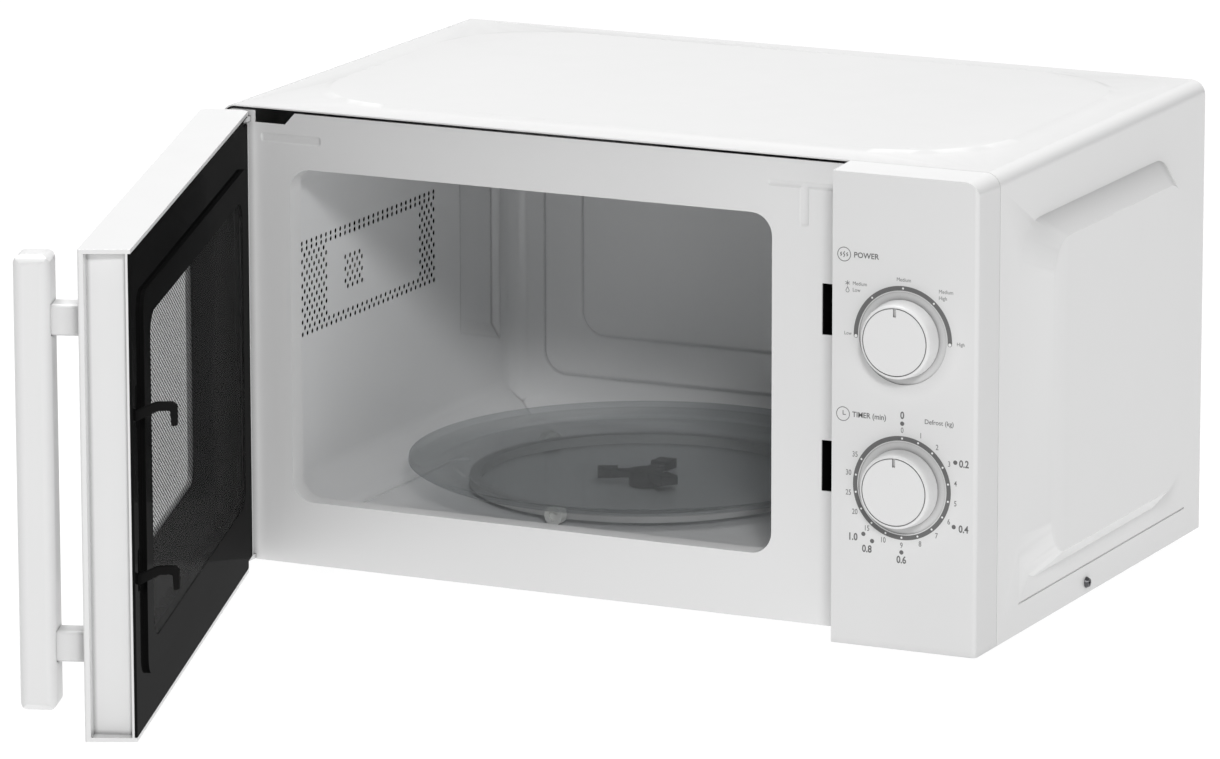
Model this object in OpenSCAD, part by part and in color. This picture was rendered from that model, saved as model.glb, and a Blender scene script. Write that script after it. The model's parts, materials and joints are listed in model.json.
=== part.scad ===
// Countertop microwave oven with a side-hinged door, two turning dials and a glass turntable.
// Millimetres, +Z up, door towards -Y, dials towards +X.
// Origin: middle of the cabinet's footprint on the surface that the feet stand on.

/* [Cabinet] */
// Width of the sheet-metal cabinet
cab_w = 451; // [446:1:456]
// Depth of the cabinet from the wrapper's front lip to its back
cab_d = 284; // [284:1:294]
// Height of the cabinet above its feet
cab_h = 249; // [249:1:254]
// Height of the feet
foot_h = 8; // [6:1:12]
// Thickness of the sheet metal
sheet = 0.8; // [0.6:0.1:1.0]
// Radius of the wrapper's long top edges
top_r = 8; // [5:1:9]
// How far the side panels bulge out
side_bulge = 10; // [6:1:12]
// How far the middle of the top is raised
top_bulge = 1.5; // [0.5:0.5:3]

/* [Cavity] */
// Inner width of the cooking cavity
cav_w = 291.6; // [286:0.2:292]
// Inner depth of the cooking cavity
cav_depth = 277; // [276:1:278]
// Rounding of the cavity's long edges
cav_r = 22; // [14:1:26]
// Width of the door opening in the front plate
open_w = 282.4; // [270:0.2:284]
// Height of the door opening in the front plate
open_h = 182; // [176:1:184]

/* [Door] */
// Angle between the door as drawn and the closed door
door_open = 71; // [0:1:95]
// Thickness of the door from its outer skin to its inner border
door_t = 26; // [24:1:26]
// Height of the door
door_h = 249.5; // [248:0.5:249.5]

/* [Handle] */
// Height of the handle bar
bar_h = 232; // [200:1:236]
// Width of the handle bar
bar_w = 22; // [16:1:24]
// Depth of the handle bar
bar_t = 19; // [14:1:20]

/* [Controls] */
// Radius of a knob at its base
knob_r = 20.4; // [17:0.1:22]
// How far a knob stands out of the control panel
knob_h = 11; // [9:0.5:16]

/* [Turntable] */
// Radius of the glass tray
tray_r = 129.5; // [120:0.5:130]
// Radius on which the roller wheels run
ring_r = 101; // [90:1:104]
// Radius of a roller wheel
wheel_r = 5.25; // [5:0.05:5.3]

/* [Hidden] */

$fn = 48;
eps = 0.01;

// Cabinet planes
half_w = cab_w / 2;
lip_y = -cab_d / 2;
back_y = cab_d / 2;
front_y = lip_y + 1;
cab_z0 = foot_h;
cab_z1 = foot_h + cab_h;

// Cavity and its opening
cav_x = -44.2;
floor_z = cab_z0 + 26;
ceil_z = cab_z0 + 222;
cav_x0 = cav_x - cav_w / 2;
cav_x1 = cav_x + cav_w / 2;
cav_back_y = front_y + cav_depth;
open_z0 = cab_z0 + 34.7;
open_r = 12;
hem_d = 12;
turn_y = front_y + 144;
screen_y0 = front_y + 13;
screen_z0 = cab_z0 + 112;
screen_w = 171;
screen_h = 64;

// Control panel
panel_x0 = 144.3;
panel_back_x0 = 141.8;
panel_y0 = front_y - 29;
panel_y1 = lip_y - 0.3;
panel_wall = 2.4;
dial_x = 183.8;
power_z = cab_z0 + 164.6;
timer_z = cab_z0 + 85.9;
seat_r = 24.4;
seat_depth = 0.6;
shaft_r = 3;

// Door, given as closed
hinge_x = -215.1;
hinge_y = front_y - 12.4;
door_x0 = -225.2;
door_x1 = 142;
door_in_x1 = 139.5;
door_y0 = panel_y0;
door_y1 = door_y0 + door_t;
door_z0 = cab_z0 - 3;
door_z1 = door_z0 + door_h;
skin = 3;
wall = 2.2;
raised_y = door_y1 + 2;
film_x0 = cav_x - 142;
film_w = 284;
film_z0 = cab_z0 + 39;
film_h = 166;
step_x0 = cav_x - 160.2;
step_w = 320.4;
step_z0 = cab_z0 + 24;
step_h = 196;
pane_x0 = cav_x - 123.8;
pane_w = 247.6;
pane_z0 = cab_z0 + 56;
pane_h = 124;
pin_r = 2.45;
hinge_bore_r = 2.5;
tab_t = 2.5;
low_tab_z = cab_z0 + 0.2;
high_tab_z = door_z1 - wall - tab_t - 1.2;

// Latch
hook_x0 = 127.6;
hook_t = 2.8;
hook_high_z = cab_z0 + 156;
hook_low_z = cab_z0 + 72.8;
hook_tip_y = front_y + 17.6;
slot_x0 = 125.6;
slot_x1 = 138;
high_slot_z = [cab_z0 + 155.4, cab_z0 + 182.6];
low_slot_z = [cab_z0 + 72.2, cab_z0 + 99.4];
latch_travel = 5;
spring_z0 = hook_high_z + 16;
spring_z1 = spring_z0 + 18;

// Handle
bar_x = 118;
bar_y1 = door_y0 - 16.4;
bar_z0 = cab_z0 + 8;
post_w = 14;
post_h = 16;
post_z = [cab_z0 + 41, cab_z0 + 207];

// Component bay right of the cavity
guide_y = [front_y + 55, front_y + 125];
guide_z = [cab_z0 + 120, cab_z0 + 200];
mag_y = front_y + 92;
mag_z = cab_z0 + 165;
fan_x = 165;
fan_z = cab_z0 + 168;
fan_r = 48;

// ---------- shared shapes ----------

// Flat rectangle from the origin with four round corners
module round_rect(w, h, r) {
    translate([r, 0]) square([w - 2 * r, h]);
    translate([0, r]) square([w, h - 2 * r]);
    for (x = [r, w - r], y = [r, h - r]) translate([x, y]) circle(r);
}

// Upright plate in the XZ plane, its near face at y0
module plate_xz(x0, z0, w, h, r, y0, t) {
    translate([x0, y0 + t, z0]) rotate([90, 0, 0]) linear_extrude(t) round_rect(w, h, r);
}

// Upright plate in the YZ plane, its near face at x0
module plate_yz(y0, z0, d, h, r, x0, t) {
    translate([x0, y0, z0]) rotate([90, 0, 90]) linear_extrude(t) round_rect(d, h, r);
}

// Box rounded along all twelve edges
module soft_box(size, r) {
    intersection() {
        linear_extrude(size[2]) round_rect(size[0], size[1], r);
        plate_xz(0, 0, size[0], size[2], r, 0, size[1]);
        plate_yz(0, 0, size[1], size[2], r, 0, size[0]);
    }
}

// Cylinder along +Y
module rod_y(x, y, z, r, h) {
    translate([x, y, z]) rotate([-90, 0, 0]) cylinder(r = r, h = h);
}

// Cylinder along +X
module rod_x(x, y, z, r, h) {
    translate([x, y, z]) rotate([0, 90, 0]) cylinder(r = r, h = h);
}

// Turns the door's parts from closed to where they are drawn
module hung() {
    translate([hinge_x, hinge_y, 0]) rotate([0, 0, -door_open]) translate([-hinge_x, -hinge_y, 0])
        children();
}

// Pan-head screw with a cross recess, head at the origin towards -Y
module pan_screw_y(r, length) {
    difference() {
        union() {
            rotate([90, 0, 0]) cylinder(r1 = r, r2 = r * 0.72, h = r * 0.6);
            rotate([-90, 0, 0]) cylinder(r = r * 0.5, h = length);
        }
        for (a = [0, 90]) rotate([0, a, 0])
            translate([-r * 0.5, -r, -r * 0.12]) cube([r, r, r * 0.24]);
    }
}

// ---------- cabinet ----------

// Cross-section of the cover, open at the bottom
module cover_profile(inset) {
    r = top_r - inset;
    w = cab_w - 2 * inset;
    h = cab_h - inset;
    translate([-w / 2, cab_z0]) square([w, h - r]);
    translate([-w / 2 + r, cab_z0]) square([w - 2 * r, h]);
    for (x = [-w / 2 + r, w / 2 - r]) translate([x, cab_z0 + h - r]) circle(r);
}

// Raised side panel; grow moves every face outwards
module side_boss(out, grow) {
    hull() {
        plate_yz(front_y + 26 - grow, cab_z0 + 26 - grow, 212 + 2 * grow, 191 + 2 * grow, 26, 0, eps);
        plate_yz(front_y + 47 - grow, cab_z0 + 37 - grow, 182 + 2 * grow, 168 + 2 * grow, 20, out, eps);
    }
}

module wrapper() color("white") {
    difference() {
        union() {
            translate([0, back_y, 0]) rotate([90, 0, 0]) linear_extrude(cab_d) cover_profile(0);
            for (m = [0, 1]) mirror([m, 0, 0]) translate([half_w - eps, 0, 0]) side_boss(side_bulge, 0);
            hull() {
                translate([-202, front_y + 20, cab_z1 - eps]) linear_extrude(eps) round_rect(404, 246, 62);
                translate([-197, front_y + 25, cab_z1]) linear_extrude(top_bulge) round_rect(394, 236, 57);
            }
        }
        translate([0, back_y + 1, 0]) rotate([90, 0, 0]) linear_extrude(cab_d + 2) cover_profile(sheet);
        for (m = [0, 1]) mirror([m, 0, 0])
            translate([half_w - sheet - eps, 0, 0]) side_boss(side_bulge + eps, -1);
        translate([-half_w, lip_y - 1, cab_z0 - 1]) cube([cab_w, cab_d + 2, 1]);
        // Bead along the foot of each side
        for (s = [-1, 1]) translate([s * half_w, 0, cab_z0 + 16])
            rotate([-90, 0, 0]) translate([0, 0, front_y + 28]) cylinder(r = 0.5, h = 232);
        for (s = [-1, 1]) rod_x(s * half_w - 2, front_y + 120.7, cab_z0 + 6.2, 1.8, 4);
    }
}

// Shallow groove with sloping walls, pressed into the front plate
module pressed_groove(x0, z0, w, h) {
    slope = 1;
    hull() {
        plate_xz(x0, z0, w, h, 1.65, front_y - 0.1, 0.1 + eps);
        plate_xz(x0 + slope, z0 + slope, w - 2 * slope, h - 2 * slope, 0.65, front_y + 0.55, eps);
    }
}

module front_plate() color("whitesmoke") {
    plate_top = cab_h - 2.4;
    difference() {
        union() {
            difference() {
                plate_xz(-half_w + 1, cab_z0, cab_w - 2, plate_top, 6, front_y, sheet);
                plate_xz(cav_x - open_w / 2, open_z0, open_w, open_h, open_r, front_y - 1, 5);
            }
            // Rim turned back into the cavity
            difference() {
                plate_xz(cav_x - open_w / 2 - sheet, open_z0 - sheet, open_w + 2 * sheet,
                    open_h + 2 * sheet, open_r + sheet, front_y, hem_d);
                plate_xz(cav_x - open_w / 2, open_z0, open_w, open_h, open_r, front_y - 1, hem_d + 2);
            }
            // Backing of the pressed grooves
            plate_xz(-204, cab_z0 + 228.5, 39, 8, 3.9, front_y + eps, 1.4);
            plate_xz(93, cab_z0 + 230, 46, 6.4, 3.1, front_y + eps, 1.4);
            plate_xz(111, cab_z0 + 210, 8.4, 24, 3.1, front_y + eps, 1.4);
        }
        pressed_groove(-202.6, cab_z0 + 230, 36, 5);
        pressed_groove(94.5, cab_z0 + 231.5, 43, 3.6);
        pressed_groove(112.5, cab_z0 + 211.5, 5.4, 22);
        // Notch beside the upper hinge, its right end cut at a slant
        translate([0, front_y + 3, 0]) rotate([90, 0, 0]) linear_extrude(5)
            polygon([[-206, cab_z0 + 240.2], [-188, cab_z0 + 240.2], [-180, cab_z1], [-206, cab_z1]]);
        // Latch slots
        for (z = [high_slot_z, low_slot_z])
            translate([slot_x0, front_y - 1, z[0]]) cube([slot_x1 - slot_x0, 4, z[1] - z[0]]);
        // Slots that the hinge arms come out of
        for (z = [low_tab_z, high_tab_z])
            translate([hinge_x - 6.8, front_y - 1, z - 0.3]) cube([13.6, 3, tab_t + 0.6]);
        // Window behind the control panel
        plate_xz(150, cab_z0 + 16, 68, 214, 4, front_y - 1, 4);
    }
}

// Cavity as a solid; grow moves every wall outwards
module cavity_block(grow) {
    w = cav_w + 2 * grow;
    h = ceil_z - floor_z + 2 * grow;
    d = cav_depth + grow;
    r = cav_r + grow;
    intersection() {
        plate_xz(cav_x0 - grow, floor_z - grow, w, h, r, front_y + sheet, d - sheet);
        plate_yz(front_y - 40, floor_z - grow, d + 40, h, 14 + grow, cav_x0 - grow, w);
        translate([cav_x0 - grow, front_y - 40, floor_z - grow]) linear_extrude(h)
            round_rect(w, d + 40, 14 + grow);
    }
}

// Outline of the left wall's recess, seen from the side; lower is the height of its near corner
module recess_outline(side, lower) {
    near_y = front_y + 211 - side;
    far_y = front_y + 259 + side;
    polygon([[near_y, lower], [far_y, lower - 12.5], [far_y, cab_z0 + 208 + side],
        [near_y, cab_z0 + 208 + side]]);
}

// Upright recess near the back of the cavity's left wall, with a sloping ledge below
module wall_recess(grow) {
    hull() {
        translate([cav_x0 - 5 - grow, 0, 0]) rotate([90, 0, 90]) linear_extrude(eps)
            recess_outline(grow - 0.5, cab_z0 + 92 - grow);
        translate([cav_x0 + 0.5, 0, 0]) rotate([90, 0, 90]) linear_extrude(eps)
            recess_outline(grow + 0.5, cab_z0 + 83 - grow);
    }
}

// One raised tier of the back wall, its edges sloping over 2 mm; y is the face below it
module press_tier(x0, z0, w, h, y, grow) {
    edge = 2;
    hull() {
        plate_xz(x0 - grow, z0 - grow, w + 2 * grow, h + 2 * grow, 14, y - eps, 1);
        plate_xz(x0 + edge - grow, z0 + edge - grow, w + 2 * (grow - edge), h + 2 * (grow - edge), 12,
            y - 2.4, 1);
    }
}

// Pressed panel in the cavity's back wall, in two tiers
module back_press(grow) {
    lift = grow < 0 ? sheet : 0;
    press_tier(cav_x - 126, cab_z0 + 50, 252, 158, cav_back_y, grow);
    press_tier(cav_x - 101, cab_z0 + 75, 202, 116, cav_back_y - 2.4 + lift, grow);
}

module cavity() color("gainsboro") {
    groove_x = cav_x0 + cav_r + 1.5;
    groove_y = front_y + 30;
    difference() {
        union() {
            difference() {
                union() {
                    cavity_block(sheet);
                    wall_recess(sheet);
                }
                difference() {
                    union() {
                        cavity_block(0);
                        wall_recess(0);
                    }
                    translate([cav_x0 - 20, cav_back_y, 0]) cube([400, 20, 300]);
                }
            }
            intersection() {
                back_press(0);
                translate([cav_x0, 0, 0]) cube([cav_w, cav_back_y + sheet, 300]);
            }
            // Underside of the floor groove
            translate([groove_x - sheet, groove_y - sheet, floor_z - 2])
                linear_extrude(1.6) round_rect(9 + 2 * sheet, 130 + 2 * sheet, 4.4 + sheet);
        }
        translate([0, sheet + eps, 0]) back_press(-sheet);
        // Seat of the perforated screen in the left wall
        translate([cav_x0 - 3, screen_y0, screen_z0]) cube([5, screen_w, screen_h]);
        // Aperture of the waveguide in the right wall
        translate([cav_x1 - 2, guide_y[0] + 8, guide_z[0] + 10]) cube([5, 54, 60]);
        // Air inlets in the right wall
        for (i = [0 : 7], j = [0 : 2])
            rod_x(cav_x1 - 2, front_y + 30 + i * 6, cab_z0 + 90 + j * 6, 1.6, 5);
        // Hole for the turntable shaft
        translate([cav_x, turn_y, floor_z - 4]) cylinder(r = 7, h = 8);
        // Long groove in the floor beside the left wall
        translate([groove_x, groove_y, floor_z - 1.2]) linear_extrude(3) round_rect(9, 130, 4.4);
    }
}

// Perforated screen: a ring of holes, two rows deep above and below, with a small block inside
module vent_screen() color("gainsboro") {
    columns = 30;
    rows = 16;
    pitch_y = 5.57;
    pitch_z = 3.33;
    thin = 0.4;
    translate([cav_x0 - thin, screen_y0, screen_z0]) rotate([90, 0, 90]) linear_extrude(thin)
        difference() {
            square([screen_w, screen_h]);
            for (j = [0 : rows - 1], i = [0 : columns - 1]) {
                shifted = j > 1 && j % 2 == 0;
                c = i + (shifted ? 0.5 : 0);
                in_ring = c < 6.1 || c > 25.9 || j < 2 || j > rows - 3;
                in_block = c > 9.9 && c < 13.9 && j > 4 && j < 11;
                if ((in_ring || in_block) && c < columns - 0.9)
                    translate([3.4 + c * pitch_y, 59 - j * pitch_z]) circle(1.4, $fn = 20);
            }
        }
}

// Black duct behind the screen, around the cavity lamp
module lamp_duct() color("black") {
    depth = 28;
    x1 = cav_x0 - sheet;
    difference() {
        translate([x1 - depth, screen_y0 - 1, screen_z0 - 2]) cube([depth, screen_w + 3, screen_h + 4]);
        translate([x1 - depth + 1.2, screen_y0 + 0.2, screen_z0 - 0.8])
            cube([depth, screen_w + 0.6, screen_h + 1.6]);
    }
}

module base_plate() color("silver") {
    difference() {
        union() {
            translate([-half_w + 1, front_y + 2, cab_z0]) cube([cab_w - 2, cab_d - 4.8, sheet]);
            for (s = [-1, 1])
                translate([s * (half_w - 1.4) - 0.4, front_y + 2, cab_z0]) cube([0.8, cab_d - 4.8, 14]);
        }
        // Vents under the component bay
        for (i = [0 : 9]) translate([124 + i * 9, 70, cab_z0 - 1]) linear_extrude(4)
            translate([0, -12]) round_rect(4, 40, 1.9);
        // Opening under the turntable motor
        translate([cav_x, turn_y, cab_z0 - 1]) cylinder(r = 20, h = 4);
        for (s = [-1, 1]) rod_x(s * half_w - 4, front_y + 120.7, cab_z0 + 6.2, 1.6, 8);
    }
}

module back_panel() color("silver") {
    y0 = back_y - 1.2;
    difference() {
        plate_xz(-half_w + 1.2, cab_z0 + 1, cab_w - 2.4, cab_h - 2.2, 7, y0, sheet);
        // Outlet slots behind the fan and beside the cavity
        for (i = [0 : 13]) plate_xz(128 + (i % 7) * 12, cab_z0 + 130 + floor(i / 7) * 44, 5, 34, 2.4,
            y0 - 1, 4);
        for (i = [0 : 8]) plate_xz(-200 + i * 11, cab_z0 + 214, 5, 22, 2.4, y0 - 1, 4);
        rod_y(195, y0 - 1, cab_z0 + 30, 5.6, 4);
        for (x = [-214, 214], z = [12, 236]) rod_y(x, y0 - 1, cab_z0 + z, 1.8, 4);
    }
}

module feet() color("dimgray") {
    for (x = [-185, 185], y = [-100, 100]) translate([x, y, 0]) cylinder(r1 = 10, r2 = 12, h = foot_h);
}

module cover_screws() color("dimgray") {
    for (s = [-1, 1]) translate([s * (half_w + 0.2), front_y + 120.7, cab_z0 + 6.2])
        rotate([0, 0, s * 90]) pan_screw_y(3, 8);
    for (x = [-214, 214], z = [12, 236]) translate([x, back_y - 0.3, cab_z0 + z])
        rotate([0, 0, 180]) pan_screw_y(3.4, 9);
}

module cord_gland() color("black") {
    y0 = back_y - 10;
    difference() {
        union() {
            rod_y(195, y0, cab_z0 + 30, 5.5, 16);
            rod_y(195, back_y - 0.3, cab_z0 + 30, 8, 3);
            rod_y(195, y0 + 4, cab_z0 + 30, 7.4, 4.7);
        }
        rod_y(195, y0 - 1, cab_z0 + 30, 3.6, 18);
    }
}

// ---------- controls ----------

module panel_outline(inset) {
    r = 2.5;
    x1 = half_w - inset;
    y0 = panel_y0 + inset;
    polygon([[panel_x0 + inset, y0], [x1 - r, y0], [x1 - r, y0 + r], [x1, y0 + r],
        [x1, panel_y1 + 1 - (inset > 0 ? 0 : 1)], [panel_back_x0 + inset, panel_y1 + 1 - (inset > 0 ? 0 : 1)]]);
    translate([x1 - r, y0 + r]) circle(r);
}

module control_panel() color("gainsboro") {
    difference() {
        intersection() {
            translate([0, 0, cab_z0]) linear_extrude(cab_h) panel_outline(0);
            translate([0, lip_y, 0]) rotate([90, 0, 0]) linear_extrude(60) cover_profile(0);
        }
        intersection() {
            translate([0, 0, cab_z0]) linear_extrude(cab_h) panel_outline(panel_wall);
            translate([0, lip_y + 1, panel_wall]) rotate([90, 0, 0]) linear_extrude(60)
                translate([0, -panel_wall]) cover_profile(panel_wall);
            translate([0, -200, cab_z0 + panel_wall]) cube([300, 100, cab_h]);
        }
        for (z = [power_z, timer_z]) {
            rod_y(dial_x, panel_y0 - 1, z, seat_r, 1 + seat_depth);
            rod_y(dial_x, panel_y0 - 1, z, 4.6, 10);
        }
    }
}

// Round knob with a pressed front disc and a pointer notch, axis along Y through the origin
module knob() {
    difference() {
        rotate([90, 0, 0]) rotate_extrude()
            polygon([[0, 0.2], [knob_r - 0.8, 0.2], [knob_r, 1], [knob_r - 0.9, knob_h - 1.4],
                [knob_r - 1.3, knob_h - 0.5], [knob_r - 2, knob_h], [0, knob_h]]);
        // Fine groove around the front disc
        rotate([90, 0, 0]) translate([0, 0, knob_h - 0.8]) difference() {
            cylinder(r = 17.9, h = 1);
            translate([0, 0, -1]) cylinder(r = 17.4, h = 3);
        }
        // Hollow back
        rotate([90, 0, 0]) difference() {
            translate([0, 0, -1]) cylinder(r = knob_r - 3.4, h = knob_h - 1.6);
            translate([0, 0, -1]) cylinder(r = 6, h = knob_h);
        }
        rotate([90, 0, 0]) translate([0, 0, -1]) cylinder(r = shaft_r + 0.02, h = knob_h - 2);
        translate([-0.8, -knob_h - 1, 13.2]) cube([1.6, 1.9, 4.6]);
    }
}

// Shaft that carries a knob
module knob_shaft(z) {
    rod_y(dial_x, panel_y0 - knob_h + 3.2, z, shaft_r, knob_h + 16);
}

module power_knob() color("white") translate([dial_x, panel_y0 + 0.2, power_z]) knob();
module timer_knob() color("white") translate([dial_x, panel_y0 + 0.2, timer_z]) knob();
module power_shaft() color("lightgray") knob_shaft(power_z);
module timer_shaft() color("lightgray") knob_shaft(timer_z);

// Box with a running bore for a knob's shaft
module dial_unit(z, w, d, h) {
    y0 = panel_y0 + 6;
    difference() {
        union() {
            translate([dial_x - w / 2, y0, z - h / 2]) cube([w, d, h]);
            rod_y(dial_x, y0 - 3, z, 5.5, 4);
        }
        rod_y(dial_x, y0 - 4, z, shaft_r + 0.06, 20);
    }
    for (s = [-1, 1]) translate([dial_x + s * (w / 2 + 4) - 5, y0, z - 6]) cube([10, 1.2, 12]);
}

module timer_unit() color("lightgray") dial_unit(timer_z, 52, 40, 50);
module power_selector() color("dimgray") dial_unit(power_z, 44, 30, 36);

module timer_bell() color("silver") {
    y0 = panel_y0 + 47;
    difference() {
        rod_y(dial_x, y0, timer_z, 20, 9);
        rod_y(dial_x, y0 - 1, timer_z, 19, 9);
    }
    rod_y(dial_x, y0 - 1, timer_z, 2.4, 9.2);
}

// ---------- component bay ----------

module waveguide() color("silver") {
    x0 = cav_x1 + sheet;
    difference() {
        translate([x0, guide_y[0], guide_z[0]]) cube([24, guide_y[1] - guide_y[0], guide_z[1] - guide_z[0]]);
        translate([x0 - 1, guide_y[0] + 1, guide_z[0] + 1])
            cube([24, guide_y[1] - guide_y[0] - 2, guide_z[1] - guide_z[0] - 2]);
        rod_x(x0 + 20, mag_y, mag_z, 12, 8);
    }
}

module waveguide_cover() color("tan") {
    plate_yz(guide_y[0] + 2, guide_z[0] + 4, 66, 72, 3, cav_x1 - 0.5, 0.4);
}

module magnetron() color("silver") {
    x0 = cav_x1 + sheet + 24;
    difference() {
        translate([x0, mag_y - 42, mag_z - 48]) cube([62, 84, 96]);
        translate([x0 + 2, mag_y - 43, mag_z - 46]) cube([58, 86, 92]);
        rod_x(x0 - 1, mag_y, mag_z, 12, 4);
    }
    rod_x(x0 + 2, mag_y, mag_z, 17, 58);
    for (i = [0 : 9]) translate([x0 + 13.5 + i * 3.6, mag_y - 38, mag_z - 34]) cube([0.6, 76, 68]);
    // Filter box
    translate([x0 + 12, mag_y - 36, mag_z - 70]) cube([40, 72, 22]);
}

module magnetron_magnets() color("black") {
    x0 = cav_x1 + sheet + 24;
    for (x = [x0 + 2, x0 + 50]) difference() {
        rod_x(x, mag_y, mag_z, 27, 10);
        rod_x(x - 1, mag_y, mag_z, 17, 12);
    }
}

module magnetron_antenna() color("orange") {
    x1 = cav_x1 + sheet + 26;
    rod_x(x1 - 4, mag_y, mag_z, 10, 4);
    rod_x(x1 - 22, mag_y, mag_z, 7, 18);
}

module transformer_core() color("gray") {
    translate([118, front_y + 50, cab_z0 + sheet]) difference() {
        cube([96, 62, 74]);
        for (z = [16, 42]) translate([20, -1, z]) cube([56, 64, 16]);
    }
    translate([112, front_y + 46, cab_z0 + sheet]) cube([108, 3.9, 10]);
}

module transformer_windings() color("peru") {
    for (z = [16.4, 42.4]) translate([138.4, front_y + 40, cab_z0 + sheet + z]) difference() {
        soft_box([55.2, 82, 15.2], 4);
        translate([-1, 9.8, -1]) cube([60, 62.4, 4]);
    }
}

module capacitor() color("silver") {
    translate([112, 34, cab_z0 + sheet + 2]) {
        linear_extrude(84) {
            translate([16, 0]) square([22, 34]);
            for (x = [17, 37]) translate([x, 17]) circle(17);
        }
        for (x = [20, 34]) translate([x - 3, 16, 84 - eps]) cube([6, 1, 9]);
    }
}

module diode() color("black") {
    translate([184, 46, cab_z0 + 14]) cylinder(r = 3.6, h = 24);
    translate([184, 46, cab_z0 + sheet]) cylinder(r = 1, h = 14);
}

module filter_board() color("green") {
    translate([178, 22, cab_z0 + 46]) cube([40, 62, 1.6]);
    for (x = [180, 214], y = [25, 79]) translate([x, y, cab_z0 + sheet])
        cylinder(r = 2, h = 46.1 - sheet);
    translate([188, 52, cab_z0 + 47.5]) cube([22, 24, 20]);
    translate([188, 30, cab_z0 + 47.5]) cube([18, 10, 13]);
}

module line_fuse() color("white") {
    rod_x(184, 46, cab_z0 + 53.2, 3, 24);
    for (x = [186, 203]) translate([x, 44.6, cab_z0 + 47.6]) cube([3, 2.8, 3.6]);
}

module fan_housing() color("dimgray") {
    y0 = back_y - 40;
    difference() {
        translate([fan_x - 54, y0, fan_z - 54]) cube([108, 30, 108]);
        rod_y(fan_x, y0 - 1, fan_z, fan_r + 2, 26);
        translate([fan_x - 44, y0 + 24, fan_z - 44]) cube([88, 10, 88]);
    }
    // Crossbar that carries the motor
    difference() {
        translate([fan_x - 50, y0 + 25, fan_z - 10]) cube([100, 3, 20]);
        rod_y(fan_x, y0 + 24, fan_z, 7, 6);
    }
}

module fan_motor() color("silver") {
    y0 = back_y - 12;
    difference() {
        union() {
            translate([fan_x - 20, y0, fan_z - 18]) cube([40, 8, 36]);
            rod_y(fan_x, y0 - 3.1, fan_z, 6.5, 4);
        }
        rod_y(fan_x, y0 - 4, fan_z, 1.56, 10);
    }
}

module fan_blade() color("dimgray") {
    y0 = back_y - 36;
    rod_y(fan_x, y0, fan_z, 11, 16);
    rod_y(fan_x, y0 + 8, fan_z, 1.5, 20);
    for (a = [0 : 90 : 270]) translate([fan_x, y0 + 8, fan_z]) rotate([0, a, 0])
        translate([9, 0, 0]) rotate([35, 0, 0]) intersection() {
            translate([0, -1, -17]) cube([fan_r - 10, 1.6, 34]);
            rod_y(6, -3, 0, fan_r - 17, 6);
        }
}

module turntable_motor() color("silver") {
    difference() {
        union() {
            translate([cav_x, turn_y, floor_z - sheet - 18.4]) cylinder(r = 24, h = 17.6);
            translate([cav_x - 32, turn_y - 6, floor_z - sheet - 2]) cube([64, 12, 1.2]);
        }
        translate([cav_x, turn_y, floor_z - sheet - 12]) cylinder(r = 3.56, h = 20);
    }
}

module cavity_lamp() color("khaki") {
    translate([cav_x0 - 13, front_y + 63, cab_z0 + 146]) {
        rotate([-90, 0, 0]) cylinder(r = 9, h = 30);
        rotate([-90, 0, 0]) translate([0, 0, 29.9]) cylinder(r = 7, h = 16);
        translate([-7, 46, -10]) cube([18, 1.2, 20]);
    }
}

module thermal_cutouts() color("black") {
    rod_x(cav_x1 + sheet, front_y + 200, cab_z0 + 150, 8, 6);
    rod_x(cav_x1 + sheet + 6, front_y + 200, cab_z0 + 150, 5, 6);
    translate([cav_x - 60, front_y + 190, ceil_z + sheet]) cylinder(r = 8, h = 6);
    translate([cav_x - 60, front_y + 190, ceil_z + sheet + 6]) cylinder(r = 5, h = 6);
}

// Switch positions: height of each plunger
switch_z = [hook_high_z + 2.4, hook_high_z + 10.6, hook_low_z + 6];
switch_y = hook_tip_y + 3.4;

module latch_board() color("black") {
    x0 = 106;
    difference() {
        translate([x0, front_y + sheet, cab_z0 + 62]) cube([36, 46, 128]);
        // Pockets that the hooks enter, open towards the door
        for (z = [high_slot_z, low_slot_z]) translate([slot_x0 - 2, front_y, z[0] - 0.4])
            cube([slot_x1 - slot_x0 + 3, switch_y - front_y - 0.4, z[1] - z[0] + 0.8]);
        // Room for the switches
        translate([x0 + 4, switch_y - 0.5, cab_z0 + 66]) cube([33, 40, 120]);
        for (z = [cab_z0 + 110, cab_z0 + 120]) translate([x0 - 1, front_y + 6, z]) cube([40, 14, 6]);
    }
}

module switches() color("black") {
    for (z = switch_z) difference() {
        translate([112, switch_y, z - 4]) cube([26, 15, 8]);
        rod_y(129, switch_y - 1, z, 1.36, 8);
    }
}

module plunger(i) color("red") {
    rod_y(129, hook_tip_y + 0.5, switch_z[i], 1.3, 6);
}

// ---------- hinges ----------

// Flat arm from the front plate to the hinge pin; pin_dir is 1 for a pin that points up
module hinge_arm(z, pin_dir) {
    difference() {
        union() {
            translate([hinge_x - 6.5, hinge_y, z]) cube([13, front_y + 2 * sheet - hinge_y, tab_t]);
            translate([hinge_x, hinge_y, z]) cylinder(r = 6.5, h = tab_t);
            // Foot welded behind the front plate
            translate([hinge_x - 6.5, front_y + sheet, z + (pin_dir > 0 ? 0 : tab_t - 22)])
                cube([13, sheet, 22]);
        }
        for (s = [-1, 1]) rod_y(hinge_x + s * 3, front_y, z + tab_t / 2 + pin_dir * 15, 1.2, 3);
    }
    translate([hinge_x, hinge_y, pin_dir > 0 ? z : z - 10]) cylinder(r = pin_r, h = 10 + tab_t);
}

module lower_hinge() color("whitesmoke") hinge_arm(low_tab_z, 1);
module upper_hinge() color("whitesmoke") hinge_arm(high_tab_z, -1);

// ---------- door ----------

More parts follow.
